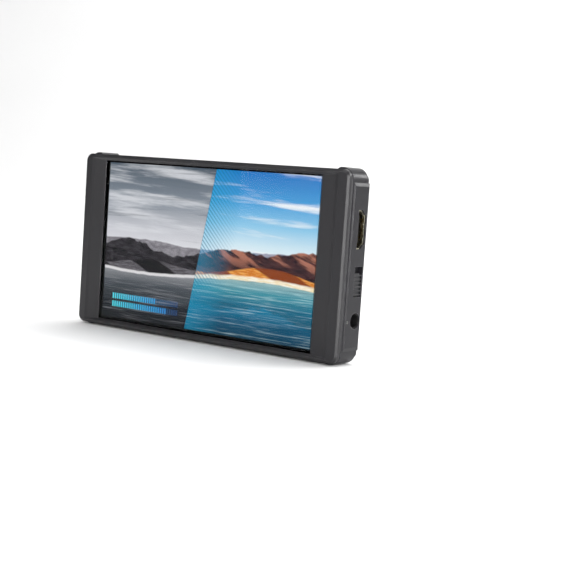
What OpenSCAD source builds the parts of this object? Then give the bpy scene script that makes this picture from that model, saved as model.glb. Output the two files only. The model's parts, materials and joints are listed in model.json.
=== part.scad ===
// Camera field monitor: a flat display unit that stands on its bottom edge.
// +X is the viewer's right, the picture faces -Y and +Z is up.
// The origin is the bottom centre of the whole unit. Millimetres.
// Inside the modules, x and z are measured from the middle of the front and y from the front plane.

/* [Body] */
// Width of the picture, which sets the width of the unit
picture_w = 114; // [108:0.5:120]
// Height of the picture, which sets the height of the unit
picture_h = 68.4; // [66.4:0.2:72]
// From the picture to the body's outline at the left and right
side_band = 13.5; // [12.9:0.1:14.5]
// From the picture to the body's outline above and below
edge_band = 3.3; // [3.2:0.1:3.8]
// Radius of the rear housing's outline corners
corner_r = 5; // [4:0.1:6.5]
// Wall thickness of the rear housing
wall = 1.5; // [1.3:0.1:1.8]
// How far the corner bumpers stand proud of the long sides
bumper_proud = 0.8; // [0.3:0.1:1]
// Length of each bumper's flat face along the long sides
bumper_flat = 1.3; // [1:0.1:5]
// Length of the slope from that face down to the long side
bumper_fade = 1.2; // [1:0.1:3]
// How far the flat panel of each short side stands proud
side_proud = 0.5; // [0.2:0.1:0.7]
// Height of that panel
side_panel_h = 65.4; // [62:0.2:66]
// Height of the slope at each end of that panel
side_ledge = 1.4; // [0.6:0.1:2]

/* [Front frame] */
// Radius of the frame's outline corners
frame_r = 3.2; // [2:0.1:4]
// Depth of the front frame at the outline
frame_d = 2.5; // [2.4:0.1:2.8]
// Width of the bevel round the front edge
frame_bevel = 1.2; // [0.6:0.1:1.4]
// Width of the groove between the frame and the rear housing
seam_w = 0.5; // [0.3:0.1:0.7]
// Depth of the groove between the frame and the rear housing
seam_d = 0.7; // [0.4:0.1:0.8]
// Width of the frame's rear tongue, which sits inside the housing wall
tongue_t = 1; // [0.8:0.1:1]
// Depth of the frame's rear tongue
tongue_d = 1.6; // [1:0.1:1.6]
// Depth of the pocket that holds the glass
pocket_d = 0.8; // [0.5:0.1:1]
// Width of the pocket's slope above and below the glass
edge_slope = 1; // [0.5:0.1:1.1]
// Width of the ramp that rises outwards at each side of the glass
side_floor = 6.5; // [5:0.1:7.5]
// Depth of the pocket at the outer end of those ramps
ramp_d = 0.3; // [0.2:0.05:0.5]
// Width of the last slope, from each ramp to the rim
side_slope = 1.4; // [0.5:0.1:1.6]
// How far the rim falls back towards each short side, per millimetre
rim_fall = 0.1; // [0:0.01:0.12]

/* [Display] */
// Dark border of the glass at the left and right of the picture
glass_border_x = 0.9; // [0.8:0.1:1]
// Dark border of the glass above and below the picture
glass_border_z = 0.6; // [0.5:0.1:0.7]
// Thickness of the cover glass
glass_t = 1; // [0.8:0.1:1.1]
// Thickness of the adhesive ring behind the glass
adhesive_t = 0.2; // [0.1:0.05:0.3]
// Thickness of the display panel
panel_t = 1.5; // [1.3:0.1:1.6]
// Thickness of the backlight
backlight_t = 1.8; // [1.4:0.1:1.9]
// Thickness of the chassis plate
plate_t = 1; // [0.8:0.1:1]

/* [Main board] */
// Space between the chassis plate and the board
board_gap = 0.7; // [0.6:0.1:1]
// Thickness of the board
board_t = 0.8; // [0.6:0.1:1]
// Space between the board and the floor of the battery bay's end channel
board_air = 0.05; // [0.05:0.05:1.5]

/* [Back] */
// Depth of the sunken back field below the ridges
field_sink = 1; // [0.6:0.1:1.2]
// Height of the chamfer that carries each trim strip, seen from behind
trim_chamfer_h = 5.2; // [4.8:0.1:5.6]
// Depth of that chamfer
trim_chamfer_d = 1.2; // [0.8:0.1:1.4]
// Width of the trim strips along the slope
trim_w = 4.5; // [4:0.1:4.7]
// Thickness of the trim strips
trim_t = 0.35; // [0.3:0.05:0.5]
// Distance from the body's end to the outer corner of a trim strip
trim_end = 4.5; // [3.5:0.5:12]
// How much shorter the inner edge of a trim strip is at each end
trim_slant = 3.5; // [2:0.5:6]
// Thickness of the back wall under the sunken field
back_t = 1.4; // [1.2:0.1:1.5]
// Radius of the rounding at the two short back edges
end_round = 1.5; // [1:0.1:2.5]

/* [Battery bay] */
// Length of the battery bay
bay_w = 77.5; // [76.5:0.5:79]
// Height of the battery bay
bay_h = 40.7; // [40:0.1:42]
// Distance of the bay's middle to the right of the body's middle
bay_x = 2.25; // [1.5:0.25:3]
// Distance of the bay's middle above the body's middle
bay_z = 0.75; // [0.5:0.25:1.5]
// Depth of the bay below the sunken field
bay_d = 4.8; // [4.2:0.1:4.8]
// Width of the deeper end channel of the bay
channel_w = 5.5; // [5:0.1:6]
// How much deeper the end channel is
channel_drop = 1.2; // [0.8:0.1:1.2]

/* [Release latch] */
// Length of the latch window
latch_window_w = 18.2; // [17.9:0.1:20]
// Travel of the release slider
latch_travel = 2.8; // [2:0.1:3]
// Length of the visible part of the slider
latch_knob_w = 14.9; // [13:0.1:15.1]

/* [Side switches] */
// Length of the ribbed switch knobs
knob_l = 9; // [7:0.1:9.2]
// Width of the ribbed switch knobs
knob_w = 4.9; // [4:0.1:5]
// Travel of the ribbed switch knobs
knob_travel = 2.5; // [1.5:0.1:2.6]
// Spacing of the ribs on the knobs
rib_pitch = 1.5; // [1.2:0.05:1.8]

/* [Sockets] */
// Width of the video socket shells
video_w = 15; // [14:0.1:15.4]
// Thickness of the video socket shells
video_t = 5.3; // [5:0.1:5.5]
// Width of the data socket shell
data_w = 13.1; // [12.5:0.1:14]
// Thickness of the data socket shell
data_t = 5.7; // [5.3:0.1:5.7]
// Radius of the headphone bore
phone_bore_r = 1.8; // [1.7:0.05:1.9]
// Outer radius of the headphone ring
phone_ring_r = 3.2; // [2.8:0.1:3.3]
// Outer radius of the power jack
jack_r = 3.1; // [2.9:0.1:3.1]
// Radius of the power jack's bore
jack_bore_r = 2.75; // [2.4:0.05:2.8]

/* [Hidden] */
$fn = 96;

// Clearances
fit = 0.1;              // between moulded pieces that fit together
slip = 0.15;            // between sliding faces
running = 0.05;         // round a screw shank or a pin in its hole
over = 1;               // how far a cutting tool runs past a face

// Outline of the body without its bumpers and side panels
body_w = picture_w + 2*side_band;
body_h = picture_h + 2*edge_band;
half_w = body_w/2;
half_h = body_h/2;
side_x = half_w + side_proud;
base_z = half_h + bumper_proud;
bumper_full = corner_r + bumper_flat;      // from the body's end to where a bumper's slope starts
bumper_long = bumper_full + bumper_fade;
inner_w = body_w - 2*wall;
inner_h = body_h - 2*wall;
inner_r = corner_r - wall;
panel_y0 = frame_d + seam_w + 1.4;  // where the side panels start, behind the seam
edge_bevel = 0.4;       // bevel round the front edge of the rear housing and of the bumpers

// Front stack, measured from the front plane
glass_w = picture_w + 2*glass_border_x;
glass_h = picture_h + 2*glass_border_z;
glass_y = pocket_d;
adhesive_y = glass_y + glass_t;
panel_y = adhesive_y + running;
backlight_y = panel_y + panel_t;
plate_y = backlight_y + backlight_t;
plate_back = plate_y + plate_t;
panel_edge = 0.1;       // black edge of the panel outside the picture
window_w = picture_w + 2*panel_edge + 2*fit;
window_h = picture_h + 2*panel_edge + 2*fit;
seat_w = glass_w + 2*fit;
seat_h = glass_h + 2*fit;
ramp_x = seat_w/2 + side_floor;
rim_x = ramp_x + side_slope;

// The board behind it, and the depth of the whole body that the board and the bay need
board_y = plate_back + board_gap;
board_back = board_y + board_t;
channel_floor_t = 0.8;
body_d = board_back + board_air + channel_floor_t + channel_drop + bay_d + field_sink;

// Back faces, measured from the front plane
field_y = body_d - field_sink;
slab_y = field_y - back_t;
chamfer_y = body_d - trim_chamfer_d;
chamfer_angle = atan(trim_chamfer_d/trim_chamfer_h);
ridge_flat = 0.6;       // flat top of the ridge inside each trim strip
ridge_slope = 3.7;      // width of the slope from the ridge down to the field
cove_l = 12;            // length of the rise from the field to each end
cove_r = (cove_l*cove_l + field_sink*field_sink)/(2*field_sink);
end_flat = 1.2;         // flat strip between the rise and the end rounding

// Battery bay
bay_floor_y = field_y - bay_d;
bay_floor_t = 1.3;
channel_y = bay_floor_y - channel_drop;
bay_left = bay_x - bay_w/2;
bay_right = bay_x + bay_w/2;
bay_bottom = bay_z - bay_h/2;
bay_top = bay_z + bay_h/2;
bay_draft = 0.5;        // how much each end wall of the bay leans out
bay_bevel = 0.6;        // bevel round the bay's mouth
tub_t = 1.3;            // wall of the bay's tub
tub_r = 1;              // corner radius of the bay
channel_x1 = bay_right - bay_draft;
channel_x0 = channel_x1 - channel_w;
step_w = 0.8;           // width of the shallow step beside the bay
step_d = 0.4;           // depth of that step
step_low = 5;           // how far the step reaches below the bay
step_high = 4;          // how far it reaches above the bay

// Hooks and contacts in the end channel
hook_in = 3.2;          // from each long side of the bay to a hook's middle
hook_l = 4;
hook_h = 3.4;
hook_w = 3.2;
hook_neck_w = 2.4;
hook_lip_w = 1.2;
hook_t = 0.5;
block_l = 3.6;          // size of the contact block along X, Y and Z
block_h = 4;
block_w = 18;
blade_pitch = 5;
blade_out = 1.2;        // how far the blades stand out of the block
blade_root = 1.5;       // solid part of the block behind the blades
blade_w = 1.8;
blade_t = 0.7;
blade_gap = 0.3;        // space round each blade in its slot

// Outline and screws of the main board
board_h = body_h - 7;
board_edge_left = half_w - 12.2;
board_edge_right = half_w - 5.5;
post_x = half_w - 20;   // board posts
post_z = half_h - 6.5;
post_r = 2;
screw_r = 0.75;         // small machine screws
screw_head_r = 1.4;
screw_head_t = 0.6;
chassis_screw_l = 2.8;
board_screw_l = 3.6;    // part of a board screw in its post
screw_end = 0.4;        // space past the end of that screw

// Display cable
flex_x = -0.263*picture_w;
flex_w = 14;
flex_play = 3;          // width of the plate's notch beyond the cable
flex_notch = 3;         // height of that notch
flex_t = 0.12;
flex_top_z = -picture_h/2 + 2;

// Chassis plate and its ears
chassis_w = picture_w - 2;
chassis_h = picture_h - 2.4;
chassis_hole_w = 0.19*picture_w;
chassis_hole_h = 0.35*picture_h;
chassis_hole_x = 0.28*picture_w;
chassis_hole_r = 4;
ear_x = half_w - 8.5;
ear_z = half_h - 5.2;
ear_r = 1.9;

// Release latch
latch_x = bay_x + 0.2;  // middle of the latch window
latch_window_h = bay_bottom + half_h - trim_chamfer_h - ridge_flat - 1.7;
latch_knob_h = latch_window_h - 1.4;
latch_left = latch_x - latch_window_w/2;
latch_right = latch_x + latch_window_w/2;
latch_bottom = bay_bottom - latch_window_h;
knob_gap = 0.2;         // gap between the slider and the window's left end
knob_left = latch_left + knob_gap;
knob_low = latch_bottom + 1;
flange_y1 = slab_y - slip;
flange_t = 1.15;
flange_y0 = flange_y1 - flange_t;
flange_over = 3;        // how far the flange reaches past the knob's ends
flange_drop = 1.8;      // how far the flange reaches below the knob
flange_top = bay_bottom - tub_t - 0.3;
tooth_t = 0.8;
tooth_y0 = flange_y0 - tooth_t;
tooth_w = 7.5;
tooth_left = knob_left + 4;
tooth_reach = 1.3;      // how far the tooth stands into the bay
keeper_t = 0.6;
keeper_y0 = tooth_y0 - slip - keeper_t;
keeper_reach = 6.6;     // how far the keeper plate reaches past the flange to its first screw
keeper_left = knob_left - flange_over - keeper_reach;
keeper_right = knob_left + latch_knob_w + flange_over - 0.9;
keeper_boss_r = 1.5;
keeper_screw_r = 0.6;
keeper_edge = 2;        // from each end of the keeper plate to its screw
keeper_drop = 3;        // how far the second screw lies below the window
spring_r = 0.95;        // radius of the spring's wire centre line
wire_r = 0.18;
spring_turns = 7;
spring_z = knob_low + 0.35*latch_knob_h;
spring_y = slab_y - spring_r - wire_r - fit;
spring_x0 = knob_left + latch_knob_w + flange_over;
spring_l = 7.6;
spring_x1 = spring_x0 + spring_l;
stop_t = 1.2;           // rib of the housing that the spring rests on
keeper_holes = [
  [keeper_left + keeper_edge, spring_z], [keeper_right - keeper_edge, latch_bottom - keeper_drop]];

// Side features: height above the middle, and depth behind the front plane
right_y = slab_y - 2.1;
left_y = board_y + 2.75;
lock_switch_y = board_y + 2.05;
video_in_z = 14.6;
power_switch_z = -5.6;
power_jack_z = -20.9;
power_jack_y = slab_y - 2.3;
status_z = -21.3;
status_y = panel_y0 + 1.2;
status_r = 0.6;
lock_switch_z = 23.8;
data_z = 7.4;
phone_z = -7;
video_out_z = -22.3;
socket_l = 11.9;
socket_in = side_x - socket_l;
video_in_sink = 0.6;    // how far the video input lies below the side face
jack_l = 8.5;
insulator_over = 0.5;   // how far an insulator fills the space behind its shell
tail_l = 2.4;           // how far its tail reaches out behind the shell, on to the board
tail_w = 9;
shell_t = 0.35;
slot_l = knob_l + knob_travel + 0.3;
slot_w = knob_w + 0.4;
knob_sink = 0.15;       // how far the ribs lie below the side face
knob_flange_t = 0.6;
knob_flange_over = 0.5;
stem_w = 2;
stem_l = 3;
stem_x = half_w - 7;    // inner end of the stem
switch_l = 9;
switch_w = 4;
switch_x0 = half_w - 10.4;
switch_x1 = half_w - 5;
foot_l = 6;             // foot that holds a switch or the headphone jack on the board
foot_t = 1;
phone_w = 5.4;
phone_h = 6.6;
phone_x0 = half_w - 12;
phone_x1 = half_w - wall - 0.6;

// Free space on the board beside the bay's tub, and what stands in it
chip_x = (bay_left - tub_t - board_edge_left)/2;
chip_z = 4;
sink_w = bay_left - tub_t + board_edge_left - 4.5;
sink_h = 0.42*body_h;
chip_w = sink_w - 2;
chip_base_t = 0.5;
chip_t = 1.4;
sink_base_t = 1.2;
fin_t = 1;
fin_pitch = 2.5;
can_x0 = bay_right + tub_t + 2;
can_x1 = socket_in - tail_l - 0.6;
can_h = 17;
can_d = 2.5;
can_t = 0.3;

// Labels on the bay's floor
bay_label_w = 0.52*bay_w;
bay_label_h = 0.64*bay_h;
bay_label_x = bay_x + 0.076*bay_w;
side_label_w = 14;
side_label_h = bay_h - 4.8;
side_label_x = bay_left + 11.5;
label_drop = 0.75;      // how far both lie below the bay's middle

// Tripod insert
insert_y = board_back + 2.15;
insert_r = 3.9;
insert_bore_r = 3.2;
insert_l = 6;
insert_boss_r = 5.2;

// Colours
frame_black = [0.17, 0.17, 0.18];
housing_black = [0.24, 0.24, 0.26];
brushed = [0.72, 0.72, 0.74];
champagne = [0.71, 0.69, 0.60];
gold = [0.85, 0.69, 0.42];
dull_steel = [0.62, 0.63, 0.65];
socket_black = [0.08, 0.08, 0.08];
board_green = [0.08, 0.26, 0.16];

// Places a sub-part, drawn from the middle of the front plane, in the unit's own frame
module placed() translate([0, -body_d/2, base_z]) children();

// A plate from depth y0 to y1 with an outline drawn in x and z
module slab(y0, y1) translate([0, y1, 0]) rotate([90, 0, 0]) linear_extrude(y1 - y0) children();

// A bar from x0 to x1 with a section drawn in y and z
module along_x(x0, x1) translate([x0, 0, 0]) rotate([90, 0, 90]) linear_extrude(x1 - x0) children();

// A bar from z0 to z1 with a section drawn in x and y
module along_z(z0, z1) translate([0, 0, z0]) linear_extrude(z1 - z0) children();

// A rod along Y, X or Z
module rod_y(x, z, y0, y1, r) translate([x, y1, z]) rotate([90, 0, 0]) cylinder(h = y1 - y0, r = r);
module rod_x(y, z, x0, x1, r) translate([x0, y, z]) rotate([0, 90, 0]) cylinder(h = x1 - x0, r = r);

// A block between two corners
module block(x, y, z) translate([x[0], y[0], z[0]]) cube([x[1] - x[0], y[1] - y[0], z[1] - z[0]]);

// A rectangle with true round corners
module round_rect(w, h, r) {
  square([w - 2*r, h], center = true);
  square([w, h - 2*r], center = true);
  for (sx = [-1, 1], sz = [-1, 1]) translate([sx*(w/2 - r), sz*(h/2 - r)]) circle(r);
}

// A plate with round corners and a straight bevel round its front edge
module bevelled_plate(w, h, r, bevel, y1) {
  slab(bevel, y1) round_rect(w, h, r);
  along_x(-w/2 + r, w/2 - r)
    polygon([[0, bevel - h/2], [bevel, -h/2], [bevel, h/2], [0, h/2 - bevel]]);
  along_z(-h/2 + r, h/2 - r)
    polygon([[bevel - w/2, 0], [w/2 - bevel, 0], [w/2, bevel], [-w/2, bevel]]);
  for (sx = [-1, 1], sz = [-1, 1]) translate([sx*(w/2 - r), bevel, sz*(h/2 - r)])
    rotate([90, 0, 0]) cylinder(h = bevel, r1 = r, r2 = r - bevel);
}

// A cutter whose four walls lean out by flare_x and flare_z between depths y0 and y1
module flared_cut(x, z, y0, y1, flare_x, flare_z) intersection() {
  along_z(z[0] - flare_z, z[1] + flare_z)
    polygon([[x[0], y0], [x[1], y0], [x[1] + flare_x, y1], [x[0] - flare_x, y1]]);
  along_x(x[0] - flare_x, x[1] + flare_x)
    polygon([[y0, z[0]], [y0, z[1]], [y1, z[1] + flare_z], [y1, z[0] - flare_z]]);
}

// The outer form of the rear housing from depth y0, grown up and down by some amount for the bumpers
module outer_form(y0, grow) intersection() {
  translate([0, y0, 0]) bevelled_plate(body_w, body_h + 2*grow, corner_r, edge_bevel, body_d - y0);
  along_x(-body_w, body_w) polygon([
    [y0, -half_h - grow], [chamfer_y, -half_h - grow], [body_d, -half_h - grow + trim_chamfer_h],
    [body_d, half_h + grow - trim_chamfer_h], [chamfer_y, half_h + grow], [y0, half_h + grow]]);
  along_z(-body_h, body_h) back_rounded(half_w, y0);
}

// Section in x and y between depths y0 and body_d, half as wide as half, with its back edges rounded
module back_rounded(half, y0) {
  translate([-half, y0]) square([2*half, body_d - end_round - y0]);
  translate([-half + end_round, y0]) square([2*half - 2*end_round, body_d - y0]);
  for (s = [-1, 1]) translate([s*(half - end_round), body_d - end_round]) circle(end_round);
}

// The proud panels of both short sides, with a slope at their front, top and bottom edges
module side_panels() intersection() {
  slab(panel_y0, body_d) polygon([
    [-half_w, -side_panel_h/2], [half_w, -side_panel_h/2], [side_x, -side_panel_h/2 + side_ledge],
    [side_x, side_panel_h/2 - side_ledge], [half_w, side_panel_h/2], [-half_w, side_panel_h/2],
    [-side_x, side_panel_h/2 - side_ledge], [-side_x, -side_panel_h/2 + side_ledge]]);
  along_z(-half_h, half_h) union() {
    polygon([
      [-half_w, panel_y0], [half_w, panel_y0],
      [side_x, panel_y0 + side_proud], [-side_x, panel_y0 + side_proud]]);
    back_rounded(side_x, panel_y0 + side_proud);
  }
}

// One corner bumper in x and z, at the upper right corner
module bumper_outline() polygon([
  [half_w - bumper_long, half_h], [half_w - bumper_full, half_h + bumper_proud],
  [half_w + over, half_h + bumper_proud], [half_w + over, half_h - corner_r - bumper_proud],
  [half_w - corner_r, half_h - corner_r - bumper_proud], [half_w - bumper_long, half_h - wall]]);

// The four bumpers, from just behind the seam to the start of the back chamfer
module bumpers() {
  bumper_y = frame_d + seam_w + 0.3;
  intersection() {
    outer_form(bumper_y, bumper_proud);
    for (sx = [0, 1], sz = [0, 1])
      mirror([sx, 0, 0]) mirror([0, 0, sz]) slab(bumper_y, chamfer_y - 0.4) bumper_outline();
  }
}

// The sunken field on the back, with a rise at each end
module field_cut() intersection() {
  along_x(-half_w, half_w) polygon([
    [field_y, -half_h + trim_chamfer_h + ridge_flat + ridge_slope],
    [body_d + 0.01, -half_h + trim_chamfer_h + ridge_flat],
    [body_d + 0.01, half_h - trim_chamfer_h - ridge_flat],
    [field_y, half_h - trim_chamfer_h - ridge_flat - ridge_slope]]);
  along_z(-half_h, half_h) union() {
    reach = half_w - end_round - end_flat;
    translate([-reach + cove_l, field_y]) square([2*reach - 2*cove_l, field_sink + over]);
    for (s = [-1, 1]) intersection() {
      translate([s*(reach - cove_l), field_y + cove_r]) circle(cove_r, $fn = 360);
      translate([s*(reach - cove_l/2), field_y + field_sink/2 + 0.01])
        square([cove_l + 0.02, field_sink], center = true);
    }
  }
}

// Moves a flat strip on to the upper or lower back chamfer
module on_chamfer(upper) mirror([0, 0, upper ? 0 : 1])
  translate([0, chamfer_y, half_h]) rotate([chamfer_angle, 0, 0]) children();

// A trim strip's outline, grown by some amount
module trim_outline(grow) {
  edge = 0.45;          // bare housing outside the strip
  outer = half_w - trim_end + grow;
  inner = outer - trim_slant;
  polygon([
    [-outer, -edge + grow], [outer, -edge + grow],
    [inner, -edge - trim_w - grow], [-inner, -edge - trim_w - grow]]);
}

// Section of a video socket in y and z, drawn in from its outside by inset, with the two corners
// towards the front cut: the input on the right side has it turned over
module video_outline(inset) {
  cut = 1.7;
  side = 2.6;
  z1 = video_w/2 - inset;
  z0 = z1 - cut;
  back = video_t/2 - inset;
  y1 = video_t/2 - side + inset*(sqrt(2) - 1);
  y0 = y1 - cut;
  polygon([[back, -z1], [back, z1], [y1, z1], [y0, z0], [-back, z0], [-back, -z0], [y0, -z0], [y1, -z1]]);
}

// Section of the data socket in y and z
module data_outline(w, t) square([t, w], center = true);

// A socket shell along +X that ends at x1, with its section as the two children, outer then inner
module socket_shell(y, z, x1) difference() {
  translate([0, y, z]) along_x(socket_in, x1) children(0);
  translate([0, y, z]) along_x(socket_in - over, side_x + over) children(1);
}

// The end of a socket's insulator, which reaches out behind its shell and rests on the board
module insulator_tail(y, z)
  block([socket_in - tail_l, socket_in], [board_back, y], [z - tail_w/2, z + tail_w/2]);

// The foot of a switch or jack body that starts at x, on the back of the board
module board_foot(x, z)
  block([x - 3.8, x + foot_t], [board_back, board_back + foot_t], [z - foot_l/2, z + foot_l/2]);

// Mirrors a sub-part drawn on the right side on to the left side
module on_left() mirror([1, 0, 0]) children();

// The plate of the front frame with its pocket, glass seat and window
module front_frame() color(frame_black) placed() {
  ring_w = inner_w - 2*fit;
  ring_h = inner_h - 2*fit;
  difference() {
    bevelled_plate(body_w, body_h, frame_r, frame_bevel, frame_d);
    pocket_cut();
    slab(pocket_d - 0.01, adhesive_y + adhesive_t) square([seat_w, seat_h], center = true);
    slab(0, frame_d + over) square([window_w, window_h], center = true);
    for (s = [0, 1]) mirror([s, 0, 0]) along_z(-half_h - over, half_h + over) polygon([
      [rim_x, 0], [rim_x, -over], [half_w + over, -over], [half_w + over, rim_fall*(half_w + over - rim_x)]]);
  }
  difference() {
    slab(frame_d, frame_d + tongue_d) round_rect(ring_w, ring_h, inner_r - fit);
    slab(0, body_d) round_rect(ring_w - 2*tongue_t, ring_h - 2*tongue_t, inner_r - fit - tongue_t);
  }
  for (sx = [-1, 1], sz = [-1, 1]) difference() {
    rod_y(sx*ear_x, sz*ear_z, frame_d, plate_y, ear_r);
    rod_y(sx*ear_x, sz*ear_z, frame_d + 0.3, plate_y + over, screw_r + running);
  }
}

// The pocket round the glass: a rising ramp and a slope at each side, one slope above and below
module pocket_cut() intersection() {
  along_z(-half_h, half_h) polygon([
    [-rim_x, -over], [rim_x, -over], [rim_x, 0], [ramp_x, ramp_d], [seat_w/2, pocket_d],
    [-seat_w/2, pocket_d], [-ramp_x, ramp_d], [-rim_x, 0]]);
  along_x(-half_w, half_w) polygon([
    [-over, -seat_h/2 - edge_slope], [0, -seat_h/2 - edge_slope], [pocket_d, -seat_h/2],
    [pocket_d, seat_h/2], [0, seat_h/2 + edge_slope], [-over, seat_h/2 + edge_slope]]);
}

module cover_glass() color([0.05, 0.06, 0.07, 0.5]) placed()
  slab(glass_y, glass_y + glass_t) square([glass_w, glass_h], center = true);

module glass_gasket() color(socket_black) placed() difference() {
  slab(adhesive_y, adhesive_y + adhesive_t) square([glass_w, glass_h], center = true);
  slab(0, body_d) square([window_w, window_h], center = true);
}

module display_panel() color([0.35, 0.55, 0.70]) placed()
  slab(panel_y, backlight_y) square([picture_w + 2*panel_edge, picture_h + 2*panel_edge], center = true);

// The backlight is a shallow metal tray with a stepped light guide
module backlight() color([0.85, 0.86, 0.88]) placed() {
  rim = 0.6;
  slab(backlight_y, plate_y - 0.4) square([picture_w - 2*rim, picture_h - 2*rim], center = true);
  slab(plate_y - 0.4, plate_y) square([picture_w, picture_h], center = true);
}

// The chassis plate carries the display and is screwed to the frame at its four ears
module chassis_plate() color(dull_steel) placed() difference() {
  union() {
    slab(plate_y, plate_back) square([chassis_w, chassis_h], center = true);
    for (sz = [-1, 1]) slab(plate_y, plate_back)
      translate([0, sz*ear_z]) square([2*ear_x, 2*ear_r], center = true);
    for (sx = [-1, 1], sz = [-1, 1]) rod_y(sx*ear_x, sz*ear_z, plate_y, plate_back, ear_r);
  }
  for (sx = [-1, 1], sz = [-1, 1]) rod_y(sx*ear_x, sz*ear_z, 0, body_d, screw_r + 3*running);
  for (s = [-1, 0, 1]) slab(0, body_d) translate([s*chassis_hole_x, 0.13*picture_h])
    round_rect(chassis_hole_w, chassis_hole_h, chassis_hole_r);
  slab(0, body_d) translate([0, -half_h]) square([2*insert_boss_r + 1, 2*insert_l + 3*wall], center = true);
  slab(0, body_d) translate([flex_x, -chassis_h/2])
    square([flex_w + flex_play, 2*flex_notch], center = true);
}

module chassis_screws() color(dull_steel) placed()
  for (sx = [-1, 1], sz = [-1, 1])
    screw_y(sx*ear_x, sz*ear_z, plate_back, chassis_screw_l, screw_r, screw_head_r, screw_head_t);

// A screw whose shank runs towards the front from depth y, with a cross recess in its head
module screw_y(x, z, y, l, r, head_r, head_t) difference() {
  union() {
    rod_y(x, z, y - l, y, r);
    rod_y(x, z, y, y + head_t, head_r);
  }
  for (a = [[0.35, 1.5], [1.5, 0.35]])
    translate([x, y + head_t, z]) cube([a[0], head_t, a[1]], center = true);
}

// The flat cable folds from the back of the panel's lower rim round the plate to its connector
module display_flex() color([0.75, 0.45, 0.12]) placed() {
  rim_z = -picture_h/2 + 0.45;
  fold_z = -picture_h/2 - panel_edge - 0.27;
  back = plate_back + 0.4;
  along_x(flex_x - flex_w/2, flex_x + flex_w/2) polygon([
    [backlight_y, rim_z], [backlight_y, fold_z], [back, fold_z], [back, flex_top_z],
    [back - flex_t, flex_top_z], [back - flex_t, fold_z + flex_t],
    [backlight_y + flex_t, fold_z + flex_t], [backlight_y + flex_t, rim_z]]);
}

module flex_connector() color(socket_black) placed()
  block([flex_x - flex_w/2 - 1, flex_x + flex_w/2 + 1], [plate_back + 0.02, board_y],
    [flex_top_z, flex_top_z + 3]);

// The rear shell: outer form, side panels, bumpers and inner posts, less the hollow, the back field
// and the bay
module rear_housing() color(housing_black) placed() difference() {
  union() {
    difference() {
      union() {
        outer_form(frame_d + seam_w, 0);
        slab(frame_d, frame_d + seam_w + 0.2)
          round_rect(body_w - 2*seam_d, body_h - 2*seam_d, corner_r - seam_d);
        side_panels();
        bumpers();
      }
      slab(0, slab_y) round_rect(inner_w, inner_h, inner_r);
      field_cut();
      for (upper = [true, false]) on_chamfer(upper) slab(-trim_t, over) trim_outline(fit);
    }
    slab(channel_y - channel_floor_t, slab_y + 0.1) translate([bay_right - channel_w/2, bay_z])
      round_rect(channel_w + 2*tub_t, bay_h + 2*tub_t, tub_r + tub_t);
    slab(bay_floor_y - bay_floor_t, slab_y + 0.1) translate([bay_x, bay_z])
      round_rect(bay_w + 2*tub_t, bay_h + 2*tub_t, tub_r + tub_t);
    for (sx = [-1, 1], sz = [-1, 1]) rod_y(sx*post_x, sz*post_z, board_back, slab_y + 0.1, post_r);
    intersection() {
      translate([0, insert_y, -half_h + wall/2]) cylinder(h = insert_l - wall/2, r = insert_boss_r);
      block([-half_w, half_w], [plate_back + fit, slab_y + 0.2], [-half_h, 0]);
    }
    for (p = keeper_holes) rod_y(p[0], p[1], keeper_y0 + keeper_t, slab_y + 0.1, keeper_boss_r);
    block([spring_x1, spring_x1 + stop_t], [spring_y - 1.3, slab_y + 0.1], [spring_z - 2, spring_z + 2]);
  }
  bay_cut();
  latch_cut();
  right_side_cuts();
  on_left() left_side_cuts();
  translate([0, insert_y, -half_h - over]) cylinder(h = insert_l + over + 0.05, r = insert_r + running);
  for (sx = [-1, 1], sz = [-1, 1])
    rod_y(sx*post_x, sz*post_z, board_back - over, board_back + board_screw_l + screw_end, screw_r + running);
  for (p = keeper_holes) rod_y(p[0], p[1], 0, keeper_y0 + keeper_t + 2, keeper_screw_r + running);
}

// The bay, its bevelled mouth, its end channel and the shallow step beside it
module bay_cut() {
  translate([bay_x, 0, bay_z]) slab(bay_floor_y, body_d + over)
    round_rect(bay_w - 2*bay_draft, bay_h, tub_r);
  flared_cut([bay_left, bay_right], [bay_bottom, bay_top],
    field_y - bay_bevel, body_d + over, bay_bevel + field_sink + over, bay_bevel + field_sink + over);
  block([channel_x0, channel_x1], [channel_y, body_d], [bay_bottom + tub_r, bay_top - tub_r]);
  for (x = [[bay_left - step_w, bay_left + tub_r], [bay_right - tub_r, bay_right + step_w]])
    block(x, [field_y - step_d, body_d], [bay_bottom - step_low, bay_top + step_high]);
}

// The latch window and the notch for the tooth in the bay's lower wall
module latch_cut() {
  block([latch_left, latch_right], [slab_y - 0.5, body_d], [latch_bottom, bay_bottom + 0.5]);
  block([tooth_left - 0.4, tooth_left + tooth_w + latch_travel + 0.4], [tooth_y0 - 0.3, slab_y],
    [bay_bottom - tub_t - over, bay_bottom + 0.5]);
  flared_cut([latch_left, latch_right], [latch_bottom, bay_bottom], field_y - 0.4, body_d + over,
    1.4 + over, 1.4 + over);
}

module right_side_cuts() {
  translate([0, right_y, video_in_z]) along_x(socket_in - insulator_over - fit, side_x + over)
    mirror([1, 0]) video_outline(-fit);
  knob_slot(right_y, power_switch_z);
  rod_x(power_jack_y, power_jack_z, side_x - jack_l - fit, side_x + over, jack_r + fit);
  rod_x(status_y, status_z, half_w - 2*wall, side_x + over, status_r);
}

module left_side_cuts() {
  translate([0, left_y, video_out_z]) along_x(socket_in, side_x + over) video_outline(-fit);
  translate([0, left_y, data_z]) along_x(socket_in, side_x + over)
    data_outline(data_w + 2*fit, data_t + 2*fit);
  knob_slot(lock_switch_y, lock_switch_z);
  rod_x(left_y, phone_z, half_w - 2*wall, side_x + over, phone_ring_r + fit);
}

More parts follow.
